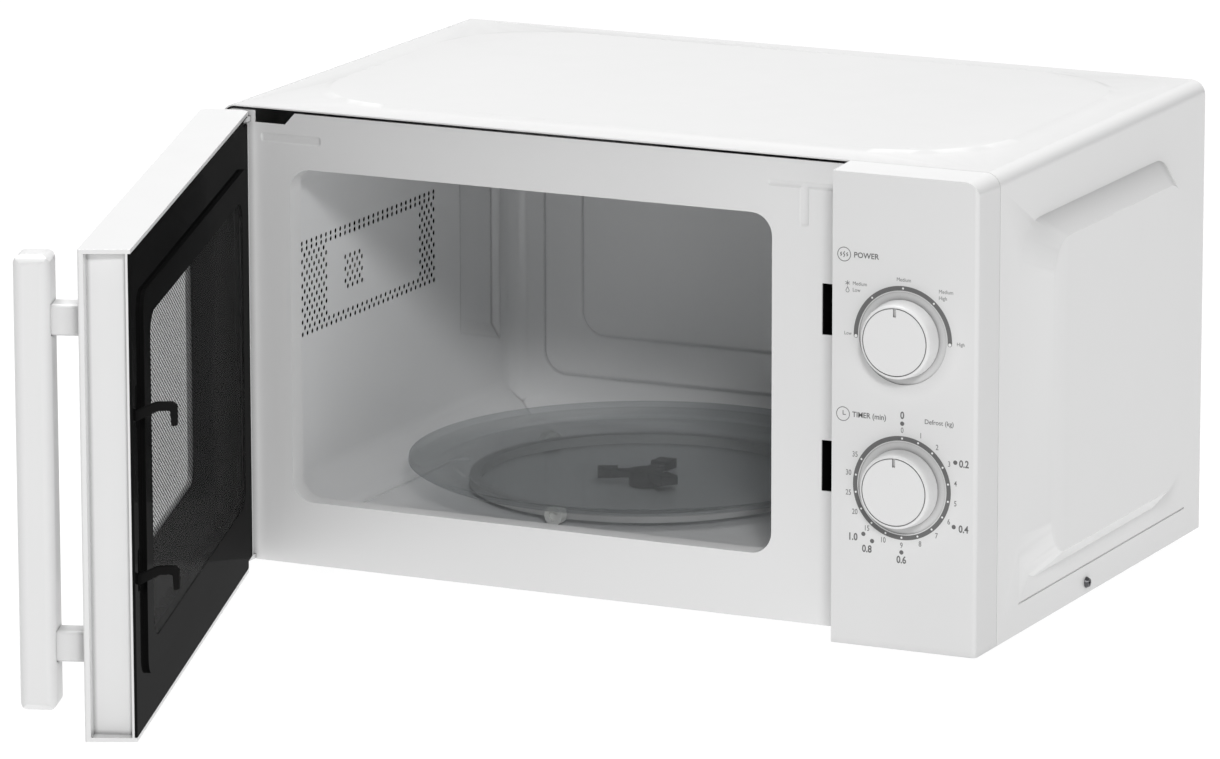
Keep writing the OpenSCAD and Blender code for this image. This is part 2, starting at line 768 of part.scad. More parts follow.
// Space that the hinge arms need as the door swings
module hinge_space() {
    for (z = [[door_z0 - 1, low_tab_z + tab_t + 0.5], [high_tab_z - 0.5, high_tab_z + tab_t + 0.6]])
        translate([door_x0 - 1, hinge_y - 8.5, z[0]]) cube([20, 30, z[1] - z[0]]);
}

module door_frame() color("white") hung() difference() {
    union() {
        difference() {
            translate([0, 0, door_z0]) linear_extrude(door_h)
                polygon([[door_x0, door_y0 + 2], [door_x0 + 2, door_y0], [door_x1 - 0.8, door_y0],
                    [door_x1, door_y0 + 0.8], [door_in_x1, door_y1], [door_x0 + 4, door_y1],
                    [door_x0, door_y1 - 4]]);
            // Hollow behind the skin
            translate([door_x0 + wall, door_y0 + skin, door_z0 + wall])
                cube([131.3 - door_x0 - wall, door_t - skin - 4.2, door_h - 2 * wall]);
            translate([door_x0 + 6.2, door_y1 - 5, door_z0 + wall])
                cube([125.1 - door_x0, 6, door_h - 2 * wall]);
            // Channel along the free edge
            translate([133.5, door_y0 + skin, door_z0 + wall]) cube([20, door_t - skin - 2.6, door_h - 2 * wall]);
            // Seat of the inner cover over the channel's lip
            translate([131, door_y1 - 1.4, door_z0 + wall]) cube([20, 3, door_h - 2 * wall]);
        }
        // Frame that holds the glass
        difference() {
            plate_xz(pane_x0 - 6, pane_z0 - 6, pane_w + 12, pane_h + 12, 8, door_y0 + skin - eps, 6);
            plate_xz(pane_x0 - 3, pane_z0 - 3, pane_w + 6, pane_h + 6, 6, door_y0 + skin, 8);
        }
        // Seat of the latch spring's upper end
        translate([hook_x0 - 2.6, front_y - 20, spring_z1]) cube([6.5, 8, 3]);
        // Blocks that the hinge pins turn in
        for (z = [low_tab_z + tab_t + 0.5, high_tab_z - 12.5])
            translate([door_x0 + 1, hinge_y - 8, z]) cube([18, 15, 12]);
    }
    plate_xz(pane_x0, pane_z0, pane_w, pane_h, 10, door_y0 - 1, 6);
    hinge_space();
    translate([hinge_x, hinge_y, low_tab_z + tab_t - 1]) cylinder(r = hinge_bore_r, h = 14);
    translate([hinge_x, hinge_y, high_tab_z - 13]) cylinder(r = hinge_bore_r, h = 14);
    for (z = post_z) rod_y(bar_x, door_y0 - 1, z, 2.1, 6);
}

module door_glass() color("lightblue", 0.35) hung()
    plate_xz(pane_x0 - 2.9, pane_z0 - 2.9, pane_w + 5.8, pane_h + 5.8, 5.9, door_y0 + skin, 3);

// Black mask around the door's pane, inside the door
module door_liner() color("black") hung() {
    x0 = -205.5;
    z0 = door_z0 + wall + 0.4;
    y0 = door_y0 + skin + 6;
    difference() {
        plate_xz(x0, z0, 110 - x0, door_h - 2 * wall - 0.8, 4, y0, 0.8);
        plate_xz(cav_x - 89, cab_z0 + 64, 178, 120, 10, y0 - 1, 3);
    }
}

module door_plate() color("dimgray") hung() {
    x0 = step_x0 + 3;
    z0 = step_z0 + 3;
    w = step_w - 6;
    h = step_h - 6;
    y1 = door_y1 - 2;
    difference() {
        plate_xz(x0, z0, w, h, 6, y1 - 14, 14);
        plate_xz(x0 + sheet, z0 + sheet, w - 2 * sheet, h - 2 * sheet, 5, y1 - 15, 14.2);
        plate_xz(film_x0, film_z0, film_w, film_h, 12, y1 - 3, 6);
        // Choke slots in the turned-back edge
        for (i = [0 : 13]) translate([x0 + 16 + i * 21.6, y1 - 15, z0 - 1]) cube([6, 10, h + 2]);
    }
}

module mesh_screen() color("black") hung() difference() {
    plate_xz(film_x0 - 4, film_z0 - 4, film_w + 8, film_h + 8, 12, door_y1 - 3.3, 0.45);
    for (i = [0 : 16], j = [0 : 9])
        plate_xz(film_x0 + 8 + i * 16, film_z0 + 8 + j * 15.4, 12, 11.4, 1, door_y1 - 5, 4);
}

module choke_cover() color("black") hung() difference() {
    union() {
        difference() {
            translate([door_x0 + 6.5, door_y1 - 1.4, door_z0 + wall + 0.3])
                cube([door_in_x1 - door_x0 - 6.8, 1.4, door_h - 2 * wall - 0.6]);
            plate_xz(step_x0 + 1.4, step_z0 + 1.4, step_w - 2.8, step_h - 2.8, 8.6, door_y1 - 3, 5);
        }
        // Raised middle with a round edge
        difference() {
            plate_xz(step_x0, step_z0, step_w, step_h, 10, door_y1 - 1.4, 3.4);
            plate_xz(step_x0 + 1.4, step_z0 + 1.4, step_w - 2.8, step_h - 2.8, 8.6, door_y1 - 3, 3.6);
        }
    }
    plate_xz(film_x0, film_z0, film_w, film_h, 12, door_y1 - 3, 6);
    hinge_space();
    // Slots for the latch arms
    for (z = [hook_high_z - 1, hook_low_z - 1])
        translate([hook_x0 - 0.7, door_y1 - 3, z]) cube([hook_t + 1.4, 5, 16 + latch_travel]);
}

module window_film() color("gray", 0.3) hung()
    plate_xz(film_x0 + 0.05, film_z0 + 0.05, film_w - 0.1, film_h - 0.1, 11.9, raised_y - 0.5, 0.4);

module handle_bar() color("white") hung() difference() {
    translate([bar_x - bar_w / 2, bar_y1 - bar_t, bar_z0]) soft_box([bar_w, bar_t, bar_h], 5.5);
    for (z = post_z) translate([bar_x - post_w / 2, bar_y1 - 3, z - post_h / 2]) cube([post_w, 5, post_h]);
}

module handle_posts() color("white") hung() for (z = post_z) difference() {
    translate([bar_x - post_w / 2, 0, z - post_h / 2]) rotate([90, 0, 0])
        translate([0, 0, -door_y0]) linear_extrude(door_y0 - bar_y1 + 3) round_rect(post_w, post_h, 2);
    rod_y(bar_x, door_y0 - 14, z, 1.9, 15);
}

module handle_screws() color("silver") hung() for (z = post_z)
    translate([bar_x, door_y0 + skin + 0.05, z]) rotate([0, 0, 180]) pan_screw_y(3.6, 14);

// ---------- latch ----------

// Side outline of one latch arm: out of the door, up a little, then down to the catch
module hook_outline() {
    polygon([[-19, 1.4], [-3.5, 1.8], [8, 7.6], [14, 7.9], [14.6, 0], [17.6, 0.5], [17.6, 10.6],
        [15.6, 12.4], [6.5, 12], [-4.5, 6.6], [-19, 6.6]]);
}

module latch_hooks() color("black") hung() {
    for (z = [hook_high_z, hook_low_z]) translate([hook_x0, front_y, z])
        rotate([90, 0, 90]) linear_extrude(hook_t) hook_outline();
    translate([hook_x0, front_y - 20, hook_low_z - 8]) cube([hook_t, 8, hook_high_z - hook_low_z + 24]);
}

module latch_spring() color("silver") hung() {
    translate([hook_x0 + hook_t / 2, front_y - 16, spring_z0]) {
        for (i = [0 : 5]) translate([0, 0, 1.4 + i * 3]) rotate_extrude()
            translate([1, 0]) circle(0.4, $fn = 16);
        cylinder(r = 0.7, h = spring_z1 - spring_z0);
    }
}

// ---------- turntable ----------

module coupler() color("dimgray") translate([cav_x, turn_y, floor_z]) {
    translate([0, 0, -10]) cylinder(r = 3.5, h = 12);
    translate([0, 0, 0.6]) cylinder(r = 9, h = 8.4);
    for (a = [86, 206, 326]) rotate([0, 0, a]) {
        translate([0, -3.5, 5.4]) cube([18, 7, 3.6]);
        translate([15, -5, 5.4]) cube([11, 10, 5]);
    }
}

tray_z = floor_z + 10.8;

module glass_tray() color("lightblue", 0.35) translate([cav_x, turn_y, tray_z]) rotate_extrude($fn = 96)
    polygon([[0, 0], [116, 0], [tray_r - 3, 3.2], [tray_r, 5.2], [tray_r - 0.4, 7], [tray_r - 2.4, 7],
        [tray_r - 6, 5], [ring_r + 6, 4.6], [ring_r + 3, 3.8], [0, 3.8]]);

module roller_ring() color("whitesmoke") translate([cav_x, turn_y, floor_z]) difference() {
    union() {
        difference() {
            translate([0, 0, 2.6]) cylinder(r = ring_r - 5, h = 5);
            translate([0, 0, 2]) cylinder(r = ring_r - 11, h = 7);
        }
        for (a = [-93, 27, 147]) rotate([0, 0, a]) translate([ring_r - 8, -3, 3.4]) cube([4.4, 6, 4.2]);
    }
    for (a = [-93, 27, 147]) rotate([0, 0, a]) translate([ring_r - 10, 0, wheel_r + 0.15])
        rotate([0, 90, 0]) cylinder(r = 1.26, h = 8);
}

// Roller wheel with its stub axle
module wheel(a) color("whitesmoke") translate([cav_x, turn_y, floor_z + wheel_r + 0.15])
    rotate([0, 0, a]) {
        difference() {
            rod_x(ring_r - 3, 0, 0, wheel_r, 6);
            rod_x(ring_r + 1.2, 0, 0, 2.6, 3);
        }
        rod_x(ring_r - 9, 0, 0, 1.2, 10.3);
    }

wrapper();
front_plate();
cavity();
vent_screen();
lamp_duct();
base_plate();
back_panel();
feet();
cover_screws();
control_panel();
timer_unit();
timer_bell();
power_selector();
waveguide();
waveguide_cover();
magnetron();
magnetron_magnets();
magnetron_antenna();
transformer_core();
transformer_windings();
capacitor();
diode();
filter_board();
line_fuse();
fan_housing();
fan_motor();
turntable_motor();
cavity_lamp();
thermal_cutouts();
latch_board();
switches();
upper_hinge();
lower_hinge();
cord_gland();
door_frame();
door_glass();
door_liner();
door_plate();
mesh_screen();
choke_cover();
window_film();
handle_bar();
handle_posts();
handle_screws();
latch_spring();
latch_hooks();
power_knob();
power_shaft();
timer_knob();
timer_shaft();
coupler();
glass_tray();
roller_ring();
wheel(-93);  // wheel_a
wheel(27);  // wheel_b
wheel(147);  // wheel_c
fan_blade();
plunger(0);  // plunger_a
plunger(1);  // plunger_b
plunger(2);  // plunger_c
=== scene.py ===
import json
import math

import bpy
import numpy as np
from mathutils import Matrix, Vector


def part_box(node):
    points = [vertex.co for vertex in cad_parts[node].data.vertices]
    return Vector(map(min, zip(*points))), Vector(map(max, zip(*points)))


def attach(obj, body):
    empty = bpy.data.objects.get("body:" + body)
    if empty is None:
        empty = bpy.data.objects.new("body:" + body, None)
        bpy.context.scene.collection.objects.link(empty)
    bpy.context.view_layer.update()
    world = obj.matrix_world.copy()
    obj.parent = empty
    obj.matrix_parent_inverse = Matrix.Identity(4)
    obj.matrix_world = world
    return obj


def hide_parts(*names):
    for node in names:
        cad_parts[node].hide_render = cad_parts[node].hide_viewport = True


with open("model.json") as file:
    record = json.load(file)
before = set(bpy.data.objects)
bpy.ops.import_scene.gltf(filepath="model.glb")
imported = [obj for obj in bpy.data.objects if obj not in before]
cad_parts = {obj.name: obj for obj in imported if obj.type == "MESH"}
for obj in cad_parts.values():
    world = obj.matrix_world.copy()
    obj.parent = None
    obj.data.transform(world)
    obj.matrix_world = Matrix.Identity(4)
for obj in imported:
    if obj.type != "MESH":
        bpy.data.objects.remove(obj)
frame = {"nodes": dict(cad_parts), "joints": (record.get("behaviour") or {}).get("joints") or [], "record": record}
MM = 0.001
NODES = frame["nodes"]


# ---------- sizes from the frame ----------


def joint(name):
    """The frame's entry for one joint."""
    return next(j for j in frame["joints"] if j["name"] == name)


def hung_matrix():
    """Turns the door from closed to where it is drawn."""
    hinge = joint("door_hinge")
    pin = Vector(hinge["pos_m"])
    turn = Matrix.Rotation(-math.radians(hinge["range_deg"][1]), 4, "Z")
    return Matrix.Translation(pin) @ turn @ Matrix.Translation(-pin)


def closed_box(node):
    """Corners of a door node with the door closed, in metres."""
    back = np.array(hung_matrix().inverted())
    mesh = NODES[node].data
    points = np.zeros(len(mesh.vertices) * 3)
    mesh.vertices.foreach_get("co", points)
    points = points.reshape(-1, 3) @ back[:3, :3].T + back[:3, 3]
    return points.min(0), points.max(0)


# ---------- shader helpers ----------

NOISE_RANGE = (0.3, 0.7)    # where nearly all values of a noise texture lie
MIX_FACTOR, MIX_A, MIX_B, MIX_COLOUR = 0, 6, 7, 2   # a colour mix's sockets, by number
CLOUD_SCALE, WEAR_SCALE = 14, 60    # slow changes of colour and of gloss, per metre
COAT_ROUGHNESS = 0.08
CREASE_SHADE_SAMPLES = 8
FALL_OFF = 5    # how sharply a clear sheet turns mirror-like towards a glance
THICK_SPOT = 0.985  # how much of its tint a clear sheet keeps where it is darkest


def new_material(name):
    """Empty material with a Principled surface, its node tree and that surface."""
    material = bpy.data.materials.new(name)
    material.use_nodes = True
    tree = material.node_tree
    surface = tree.nodes["Principled BSDF"]
    return material, tree, surface


def add(tree, kind, **values):
    """Adds a shader node and sets its inputs by name."""
    made = tree.nodes.new(kind)
    for key, value in values.items():
        made.inputs[key.replace("_", " ")].default_value = value
    return made


def own_place(tree):
    """The part's own coordinates, in metres."""
    return tree.nodes.new("ShaderNodeTexCoord").outputs["Object"]


def noise(tree, scale, detail=4.0, stretch=(1, 1, 1)):
    """Noise texture in the part's own coordinates, in features per metre."""
    mapping = add(tree, "ShaderNodeMapping", Scale=stretch)
    tree.links.new(own_place(tree), mapping.inputs["Vector"])
    made = add(tree, "ShaderNodeTexNoise", Scale=scale, Detail=detail)
    tree.links.new(mapping.outputs["Vector"], made.inputs["Vector"])
    return made.outputs["Fac"]


def remap(tree, source, source_range, target_range):
    """Maps one range of values onto another and clamps what lies outside."""
    (low, high), (new_low, new_high) = source_range, target_range
    made = add(tree, "ShaderNodeMapRange", From_Min=low, From_Max=high, To_Min=new_low,
               To_Max=new_high)
    tree.links.new(source, made.inputs["Value"])
    return made.outputs["Result"]


def spread(tree, source, low, high):
    """Maps the middle of a noise texture's range onto low..high."""
    return remap(tree, source, NOISE_RANGE, (low, high))


def colour_mix(tree, source):
    """Mix node for colours whose factor comes from source."""
    made = tree.nodes.new("ShaderNodeMix")
    made.data_type = "RGBA"
    tree.links.new(source, made.inputs[MIX_FACTOR])
    return made


def tint(tree, source, dark, light):
    """Blends two colours by a texture."""
    made = colour_mix(tree, source)
    made.inputs[MIX_A].default_value = (*dark, 1)
    made.inputs[MIX_B].default_value = (*light, 1)
    return made.outputs[MIX_COLOUR]


def bump(tree, surface, source, strength, depth):
    """Raises a surface by a texture, depth in metres."""
    made = add(tree, "ShaderNodeBump", Strength=strength, Distance=depth)
    tree.links.new(source, made.inputs["Height"])
    tree.links.new(made.outputs["Normal"], surface.inputs["Normal"])


def surface_of(name, colour, rough, metal=0.0, vary=0.03, grain=900, depth=4e-6, strength=0.25,
               stretch=(1, 1, 1), rough_vary=0.05, specular=0.5, coat=0.0):
    """Surface with slight changes of colour and gloss, a fine grain and an optional clear coat."""
    material, tree, surface = new_material(name)
    cloud = spread(tree, noise(tree, CLOUD_SCALE, 3), 0, 1)
    dark = [max(0, c * (1 - vary)) for c in colour]
    light = [min(1, c * (1 + vary)) for c in colour]
    tree.links.new(tint(tree, cloud, dark, light), surface.inputs["Base Color"])
    worn = spread(tree, noise(tree, WEAR_SCALE, 5), rough - rough_vary, rough + rough_vary)
    tree.links.new(worn, surface.inputs["Roughness"])
    surface.inputs["Metallic"].default_value = metal
    surface.inputs["Specular IOR Level"].default_value = specular
    surface.inputs["Coat Weight"].default_value = coat
    surface.inputs["Coat Roughness"].default_value = COAT_ROUGHNESS
    bump(tree, surface, noise(tree, grain, 3, stretch), strength, depth)
    return material


def darken_creases(material, reach, dark):
    """Paints shade into the colour in grooves and gaps, within reach metres of another face: the colour turns
    towards dark where ambient occlusion finds faces close by.
    """
    tree = material.node_tree
    surface = tree.nodes["Principled BSDF"]
    colour = surface.inputs["Base Color"].links[0].from_socket
    # ambient occlusion mask for the painted shade in creases and gaps
    crease_shade = add(tree, "ShaderNodeAmbientOcclusion", Distance=reach)
    crease_shade.samples = CREASE_SHADE_SAMPLES
    made = colour_mix(tree, crease_shade.outputs["AO"])
    made.inputs[MIX_A].default_value = (dark, dark, dark, 1)
    tree.links.new(colour, made.inputs[MIX_B])
    tree.links.new(made.outputs[MIX_COLOUR], surface.inputs["Base Color"])
    return material


def round_edges(material, radius, near, far):
    """Shades edges as if rounded: not before Y = near, by the full radius from Y = far on."""
    tree = material.node_tree
    parts = tree.nodes.new("ShaderNodeSeparateXYZ")
    tree.links.new(own_place(tree), parts.inputs["Vector"])
    fade = remap(tree, parts.outputs["Y"], (near, far), (0, radius))
    rounded = tree.nodes.new("ShaderNodeBevel")
    tree.links.new(fade, rounded.inputs["Radius"])
    grain = next(n for n in tree.nodes if n.bl_idname == "ShaderNodeBump")
    tree.links.new(rounded.outputs["Normal"], grain.inputs["Normal"])


def clear_material(name, tint_colour, gloss_colour, rough, least, most):
    """Thin clear sheet: its gloss's share goes from least, face on, to most, at a glance."""
    material, tree, surface = new_material(name)
    surface.inputs["Base Color"].default_value = (*gloss_colour, 1)
    worn = spread(tree, noise(tree, 40, 4), rough * 0.6, rough * 1.4)
    tree.links.new(worn, surface.inputs["Roughness"])
    through = add(tree, "ShaderNodeBsdfTransparent")
    cloud = spread(tree, noise(tree, 9, 2), 0, 1)
    dark = [c * THICK_SPOT for c in tint_colour]
    tree.links.new(tint(tree, cloud, dark, tint_colour), through.inputs["Color"])
    slant = add(tree, "ShaderNodeLayerWeight", Blend=0.5)
    power = tree.nodes.new("ShaderNodeMath")
    power.operation = "POWER"
    power.inputs[1].default_value = FALL_OFF
    tree.links.new(slant.outputs["Facing"], power.inputs[0])
    mix = tree.nodes.new("ShaderNodeMixShader")
    tree.links.new(remap(tree, power.outputs[0], (0, 1), (least, most)), mix.inputs["Fac"])
    tree.links.new(through.outputs["BSDF"], mix.inputs[1])
    tree.links.new(surface.outputs["BSDF"], mix.inputs[2])
    output = tree.nodes["Material Output"]
    tree.links.new(mix.outputs["Shader"], output.inputs["Surface"])
    return material


# ---------- materials ----------

def white_enamel():
    enamel = surface_of("white_enamel", (0.83, 0.83, 0.83), 0.26, vary=0.003, grain=1800,
                        depth=1e-6, strength=0.10, rough_vary=0.006)
    # painted shade: within 4 mm of other faces the colour darkens to grey 0.35
    return darken_creases(enamel, 0.004, 0.35)


def cavity_enamel():
    enamel = surface_of("cavity_enamel", (0.84, 0.845, 0.85), 0.2, vary=0.003, grain=900,
                        depth=1e-6, strength=0.10, rough_vary=0.006)
    screen_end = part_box("vent_screen")[1].y     # the screen's seam in the wall stays sharp
    round_edges(enamel, 0.0024, screen_end, screen_end + 0.01)
    return enamel


def white_plastic():
    plastic = surface_of("white_plastic", (0.82, 0.82, 0.82), 0.34, vary=0.004, grain=1500,
                         depth=2e-6, strength=0.15, rough_vary=0.01)
    # painted shade: within 2.5 mm of other faces the colour darkens to near black 0.05
    return darken_creases(plastic, 0.0025, 0.05)


def grey_white_plastic():
    plastic = surface_of("grey_white_plastic", (0.79, 0.79, 0.79), 0.42, vary=0.006, grain=2600,
                         depth=3e-6, strength=0.25, rough_vary=0.02)
    # painted shade: within 12 mm of other faces the colour darkens to grey 0.25
    return darken_creases(plastic, 0.012, 0.25)


def black_gloss():
    return surface_of("black_gloss", (0.006, 0.006, 0.006), 0.3, vary=0.15, grain=1500,
                      depth=1e-6, strength=0.06, rough_vary=0.03, specular=0.0, coat=0.07)


def black_matte():
    return surface_of("black_matte", (0.010, 0.010, 0.010), 0.5, vary=0.12, grain=2200,
                      depth=4e-6, strength=0.3, specular=0.0, coat=0.05)


def black_paint():
    return surface_of("black_paint", (0.010, 0.010, 0.010), 0.38, vary=0.15, grain=1400,
                      depth=5e-6, strength=0.3, specular=0.0, coat=0.04)


def rubber_black():
    return surface_of("rubber_black", (0.035, 0.035, 0.036), 0.72, vary=0.2, grain=1800,
                      depth=2e-5, strength=0.4)


def grey_plastic():
    return surface_of("grey_plastic", (0.05, 0.05, 0.052), 0.45, vary=0.1, grain=2000,
                      depth=8e-6, strength=0.35)


def nylon_grey():
    return surface_of("nylon_grey", (0.52, 0.52, 0.52), 0.5, vary=0.05, grain=1600,
                      depth=5e-6)


def nylon_white():
    return surface_of("nylon_white", (0.80, 0.80, 0.78), 0.45, vary=0.02, grain=1600,
                      depth=5e-6)


def switch_red():
    return surface_of("switch_red", (0.55, 0.05, 0.03), 0.4, vary=0.08, grain=2000)


def fuse_white():
    return surface_of("fuse_white", (0.8, 0.79, 0.75), 0.35, grain=2500)


def zinc_sheet():
    return surface_of("zinc_sheet", (0.60, 0.61, 0.62), 0.36, metal=0.9, vary=0.1, grain=160,
                      depth=8e-6, strength=0.2, rough_vary=0.1)


def steel():
    return surface_of("steel", (0.52, 0.53, 0.54), 0.34, metal=1.0, vary=0.08, grain=700,
                      stretch=(1, 1, 12))


def dark_screw():
    return surface_of("dark_screw", (0.10, 0.10, 0.105), 0.35, metal=0.9, vary=0.15, grain=2400,
                      depth=1e-5)


def chrome_shaft():
    return surface_of("chrome_shaft", (0.66, 0.66, 0.68), 0.12, metal=1.0, vary=0.04, grain=900,
                      stretch=(1, 14, 1), rough_vary=0.04)


def aluminium_fins():
    return surface_of("aluminium_fins", (0.72, 0.73, 0.74), 0.32, metal=1.0, vary=0.06, grain=600,
                      stretch=(1, 10, 1))


def antenna_metal():
    return surface_of("antenna_metal", (0.62, 0.44, 0.24), 0.3, metal=0.8, vary=0.1, grain=900)


def ferrite():
    return surface_of("ferrite", (0.045, 0.045, 0.05), 0.6, vary=0.3, grain=3000, depth=2e-5,
                      strength=0.5)


def mica():
    return surface_of("mica", (0.55, 0.46, 0.32), 0.5, vary=0.16, grain=260, depth=2e-5,
                      strength=0.4, stretch=(1, 1, 6))


def banded(name, dark, light, rough, metal, bands, direction):
    """Surface built up of fine even layers, such as sheets or turns of wire."""
    material, tree, surface = new_material(name)
    wave = add(tree, "ShaderNodeTexWave", Scale=bands, Distortion=0.4)
    wave.bands_direction = direction
    tree.links.new(own_place(tree), wave.inputs["Vector"])
    tree.links.new(tint(tree, wave.outputs["Fac"], dark, light), surface.inputs["Base Color"])
    worn = spread(tree, noise(tree, 80), rough - 0.06, rough + 0.06)
    tree.links.new(worn, surface.inputs["Roughness"])
    surface.inputs["Metallic"].default_value = metal
    bump(tree, surface, wave.outputs["Fac"], 0.5, 1e-4)
    return material


def core_steel():
    return banded("core_steel", (0.07, 0.07, 0.075), (0.16, 0.16, 0.17), rough=0.5, metal=0.6,
                  bands=300, direction="X")


def copper():
    return banded("copper", (0.38, 0.13, 0.04), (0.72, 0.33, 0.14), rough=0.35, metal=0.8,
                  bands=260, direction="Z")


def board_green():
    """Lacquered board with a faint net of tracks."""
    material, tree, surface = new_material("board_green")
    brick = add(tree, "ShaderNodeTexBrick", Scale=120, Color1=(0.02, 0.14, 0.06, 1),
                Color2=(0.025, 0.17, 0.08, 1), Mortar=(0.08, 0.30, 0.16, 1))
    tree.links.new(own_place(tree), brick.inputs["Vector"])
    tree.links.new(brick.outputs["Color"], surface.inputs["Base Color"])
    worn = spread(tree, noise(tree, 90), 0.25, 0.4)
    tree.links.new(worn, surface.inputs["Roughness"])
    return material


def lamp_glass():
    return clear_material("lamp_glass", (0.98, 0.96, 0.9), (0.9, 0.88, 0.8),
                          rough=0.05, least=0.12, most=1.0)


def tray_glass():
    return clear_material("tray_glass", (0.87, 0.88, 0.885), (0.35, 0.36, 0.36),
                          rough=0.04, least=0.05, most=0.9)


def window_glass():
    return clear_material("window_glass", (0.96, 0.965, 0.965), (0.01, 0.01, 0.01),
                          rough=0.03, least=0.0, most=0.25)


def film():
    return clear_material("film", (0.93, 0.93, 0.93), (0.01, 0.01, 0.01),
                          rough=0.08, least=0.0, most=0.12)


def ink(name, colour):
    return surface_of(name, colour, 0.5, vary=0.05, grain=4000, depth=2e-6)


MAKERS = {f.__name__: f for f in (
    white_enamel, cavity_enamel, white_plastic, grey_white_plastic, black_gloss, black_matte,
    black_paint, rubber_black, grey_plastic, nylon_grey, nylon_white, switch_red, fuse_white,
    zinc_sheet, steel, dark_screw, chrome_shaft, aluminium_fins, antenna_metal, ferrite, mica,
    core_steel, copper, board_green, lamp_glass, tray_glass, window_glass, film)}


def dress_nodes():
    """Gives every CAD node the finish that the record names for it."""
    made = {}
    for entry in frame["record"]["subparts"]:
        slot = entry["material_slot"]
        if slot not in made:
            made[slot] = MAKERS[slot]()
        mesh = NODES[entry["node"]].data
        mesh.materials.clear()
        mesh.materials.append(made[slot])


# ---------- soft edges ----------

SOFT_EDGES = {"wrapper": 0.5, "front_plate": 0.35, "cavity": 0.15, "control_panel": 0.7,
              "door_frame": 0.6, "choke_cover": 0.6, "handle_posts": 0.8, "handle_bar": 0.4,
              "latch_hooks": 0.5, "power_knob": 0.1, "timer_knob": 0.1, "coupler": 0.6,
              "upper_hinge": 0.3, "lower_hinge": 0.3, "feet": 0.8, "back_panel": 0.2,
              "latch_board": 0.4, "lamp_duct": 0.3, "door_liner": 0.3, "capacitor": 0.8,
              "timer_unit": 0.8, "power_selector": 0.8, "fan_housing": 0.8, "roller_ring": 0.3,
              "transformer_core": 0.3}      # millimetres
SHARP_ANGLE = math.radians(32)
WELD_DISTANCE = 0.001 * MM


def soften(node, width):
    """Rounds a CAD node's hard edges a little, without touching its mesh."""
    obj = NODES[node]
    attribute = obj.data.attributes.get("custom_normal")
    if attribute is not None:
        obj.data.attributes.remove(attribute)
    obj.data.shade_smooth()
    weld = obj.modifiers.new("weld", "WELD")
    weld.merge_threshold = WELD_DISTANCE
    bevel = obj.modifiers.new("soft edge", "BEVEL")
    bevel.width = width * MM
    bevel.segments = 2
    bevel.limit_method = "ANGLE"
    bevel.angle_limit = SHARP_ANGLE
    bevel.harden_normals = True
    normals = obj.modifiers.new("flat faces", "WEIGHTED_NORMAL")
    normals.keep_sharp = True


# ---------- printed marks ----------

CAPITAL_HEIGHT = 0.72   # of the font's size
SCALE_IN, SCALE_OUT, SCALE_MID = 25.0, 27.4, 26.2   # radii of a dial's printed band
POWER_TURN = 92         # degrees the power scale runs to either side
POWER_STOPS = (-92, -41, 0, 41, 92)
PRINT_LIFT = 0.04 * MM  # how far the ink stands in front of the panel
DOT_LIFT = 0.02 * MM    # and the white dots in front of the dark band


class Sheet:
    """Thin flat shapes gathered in the panel's plane, in millimetres from a dial's middle."""

    def __init__(self):
        self.points, self.faces = [], []

    def shape(self, outline):
        """Adds one face."""
        start = len(self.points)
        self.points.extend(outline)
        self.faces.append(list(range(start, start + len(outline))))

    def ring(self, x, z, inner, outer, start=0.0, end=360.0, steps=96):
        """Adds a ring or a part of one, in degrees clockwise from the top."""
        for i in range(steps):
            a, b = (math.radians(start + (end - start) * k / steps) for k in (i, i + 1))
            self.shape([(x + r * math.sin(t), z + r * math.cos(t))
                        for r, t in ((inner, a), (outer, a), (outer, b), (inner, b))])

    def dot(self, x, z, radius, steps=20):
        """Adds a round dot."""
        self.shape([(x + radius * math.sin(2 * math.pi * i / steps),
                     z + radius * math.cos(2 * math.pi * i / steps)) for i in range(steps)])

    def line(self, points, width):
        """Adds a bent stroke."""
        for (ax, az), (bx, bz) in zip(points, points[1:]):
            length = math.hypot(bx - ax, bz - az)
            nx, nz = -(bz - az) / length * width / 2, (bx - ax) / length * width / 2
            self.shape([(ax + nx, az + nz), (bx + nx, bz + nz), (bx - nx, bz - nz),
                        (ax - nx, az - nz)])

    def text(self, words, x, z, height, align="CENTER", weight=0.0, narrow=0.9):
        """Adds words whose capitals are height tall, made bolder by weight."""
        curve = bpy.data.curves.new("words", "FONT")
        curve.body = words
        curve.size = height / CAPITAL_HEIGHT
        curve.align_x = align
        curve.align_y = "CENTER"
        curve.offset = weight
        curve.resolution_u = 4
        holder = bpy.data.objects.new("words", curve)
        bpy.context.scene.collection.objects.link(holder)
        graph = bpy.context.evaluated_depsgraph_get()
        mesh = bpy.data.meshes.new_from_object(holder.evaluated_get(graph))
        for face in mesh.polygons:
            self.shape([(x + mesh.vertices[i].co.x * narrow, z + mesh.vertices[i].co.y)
                        for i in face.vertices])
        bpy.data.objects.remove(holder)
        bpy.data.curves.remove(curve)
        bpy.data.meshes.remove(mesh)

    def build(self, name, middle, y, material):
        """The gathered shapes as one mesh in front of the panel."""
        mesh = bpy.data.meshes.new(name)
        place = [(middle[0] + x * MM, y, middle[1] + z * MM) for x, z in self.points]
        mesh.from_pydata(place, [], self.faces)
        mesh.materials.append(material)
        obj = bpy.data.objects.new(name, mesh)
        bpy.context.scene.collection.objects.link(obj)
        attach(obj, "cabinet")


def polar(radius, degrees):
    """X and Z of a point round a dial, in degrees clockwise from the top."""
    a = math.radians(degrees)
    return radius * math.sin(a), radius * math.cos(a)


